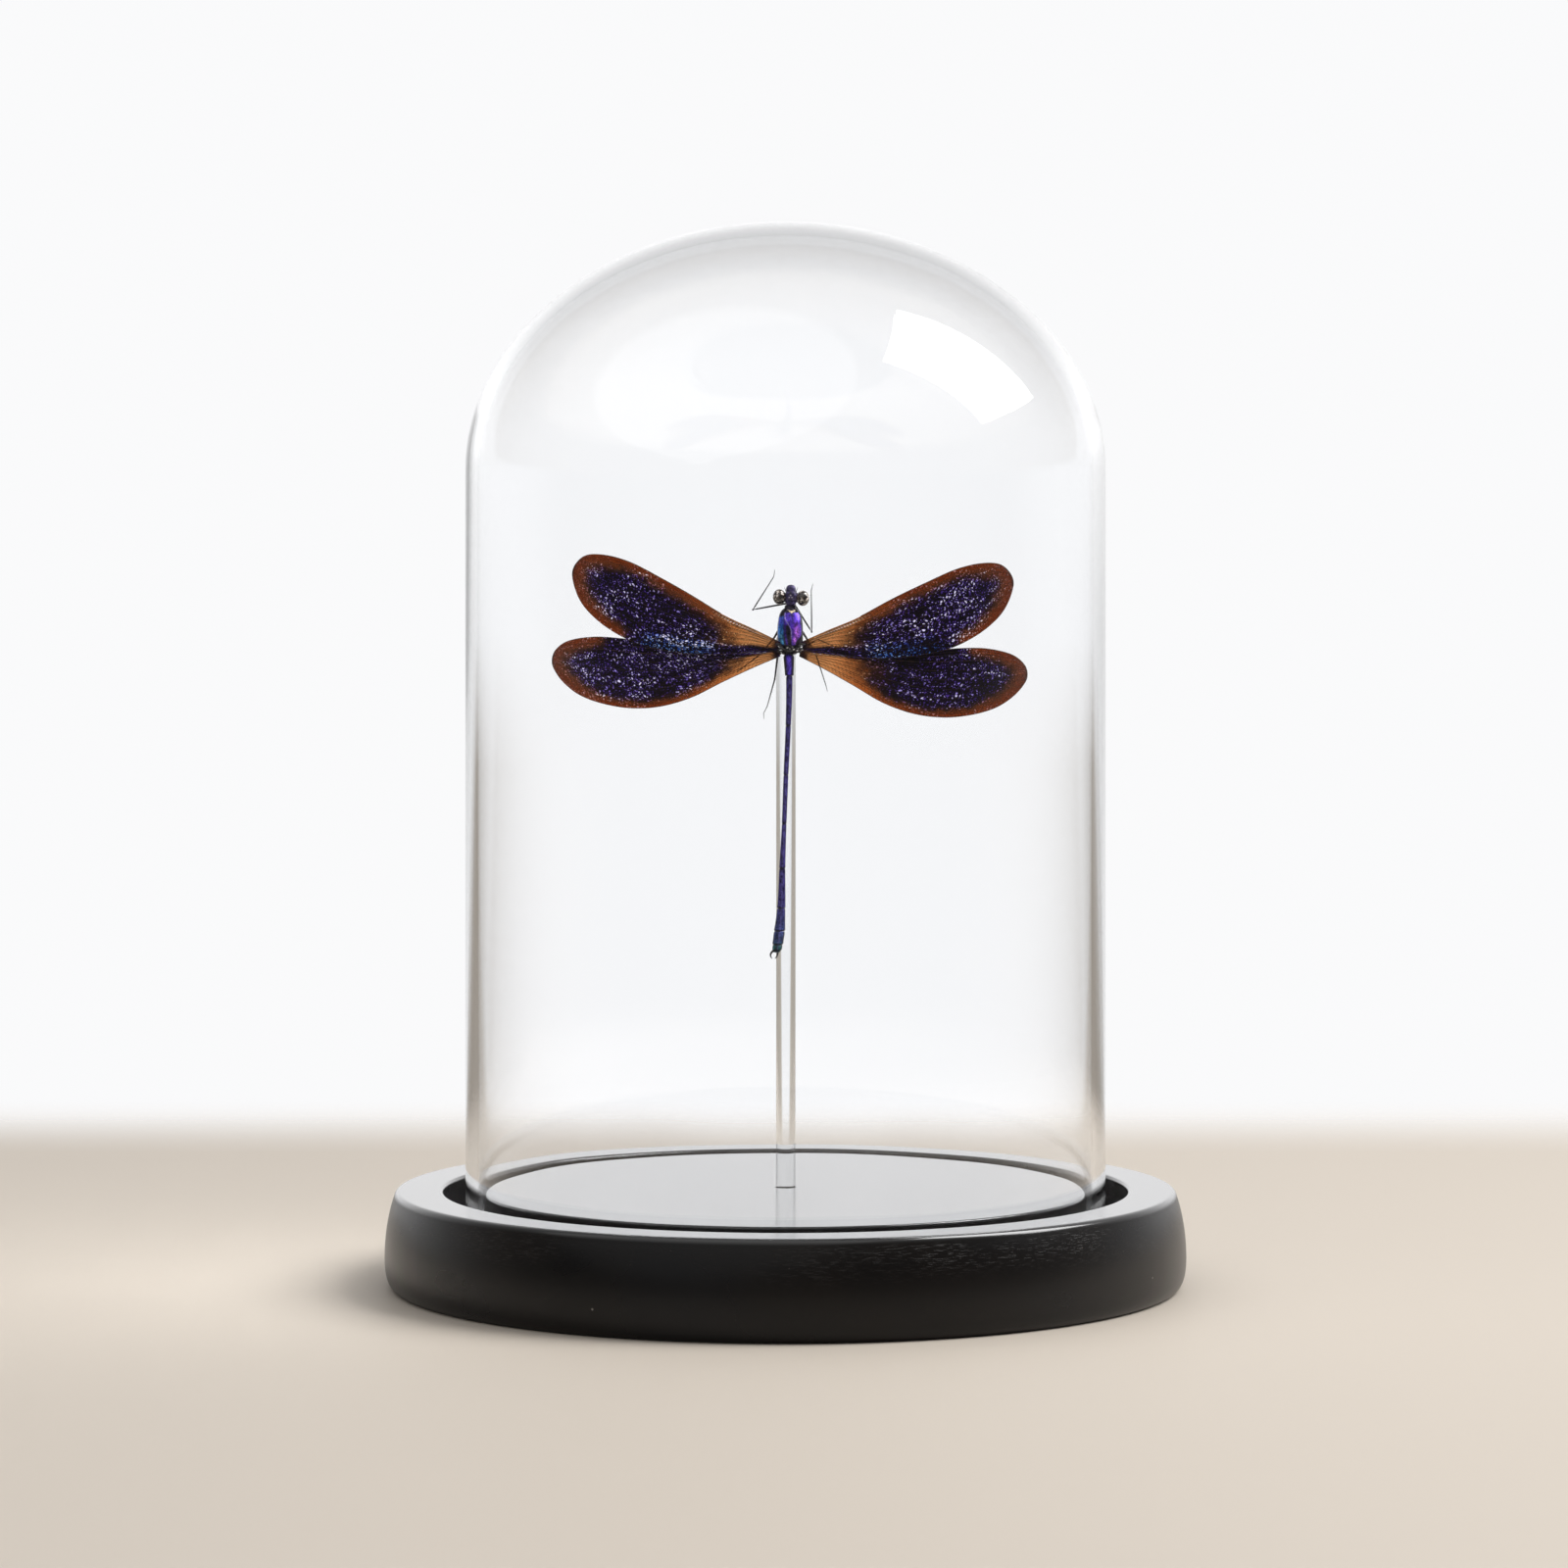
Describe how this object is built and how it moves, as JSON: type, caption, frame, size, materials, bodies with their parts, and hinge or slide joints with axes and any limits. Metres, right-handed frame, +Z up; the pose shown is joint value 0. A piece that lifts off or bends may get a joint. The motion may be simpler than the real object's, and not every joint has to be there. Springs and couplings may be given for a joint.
{
  "type": "insect in glass dome",
  "caption": "Damselfly with spread wings, mounted upright on a clear rod in a glass bell dome on a round black wooden base.",
  "frame": {"origin": "centre of the base's underside, on the table", "axes": "+Z up along the dome's axis, -Y towards the viewer who sees the insect's back, +X to that viewer's right"},
  "size_m": [0.1252, 0.1254, 0.1664],
  "materials": {
    "painted_wood": "turned wood under satin black paint, grain just showing",
    "dome_glass": "clear blown glass, fire-polished",
    "rod_glass": "clear polished rod",
    "head_cuticle": "blue-black insect cuticle with glossy brown eyes",
    "violet_cuticle": "metallic violet-blue insect cuticle",
    "wing_membrane": "dark rusty translucent membrane with violet and blue glitter",
    "leg_cuticle": "black bristled insect cuticle"
  },
  "bodies": {
    "root": {"base": "painted_wood", "dome": "dome_glass", "rod": "rod_glass", "head": "head_cuticle", "thorax": "violet_cuticle", "abdomen": "violet_cuticle", "forewing_left": "wing_membrane", "forewing_right": "wing_membrane", "hindwing_left": "wing_membrane", "hindwing_right": "wing_membrane", "leg_fore_left": "leg_cuticle", "leg_fore_right": "leg_cuticle", "leg_mid_left": "leg_cuticle", "leg_mid_right": "leg_cuticle", "leg_hind_left": "leg_cuticle", "leg_hind_right": "leg_cuticle"}
  },
  "joints": []
}
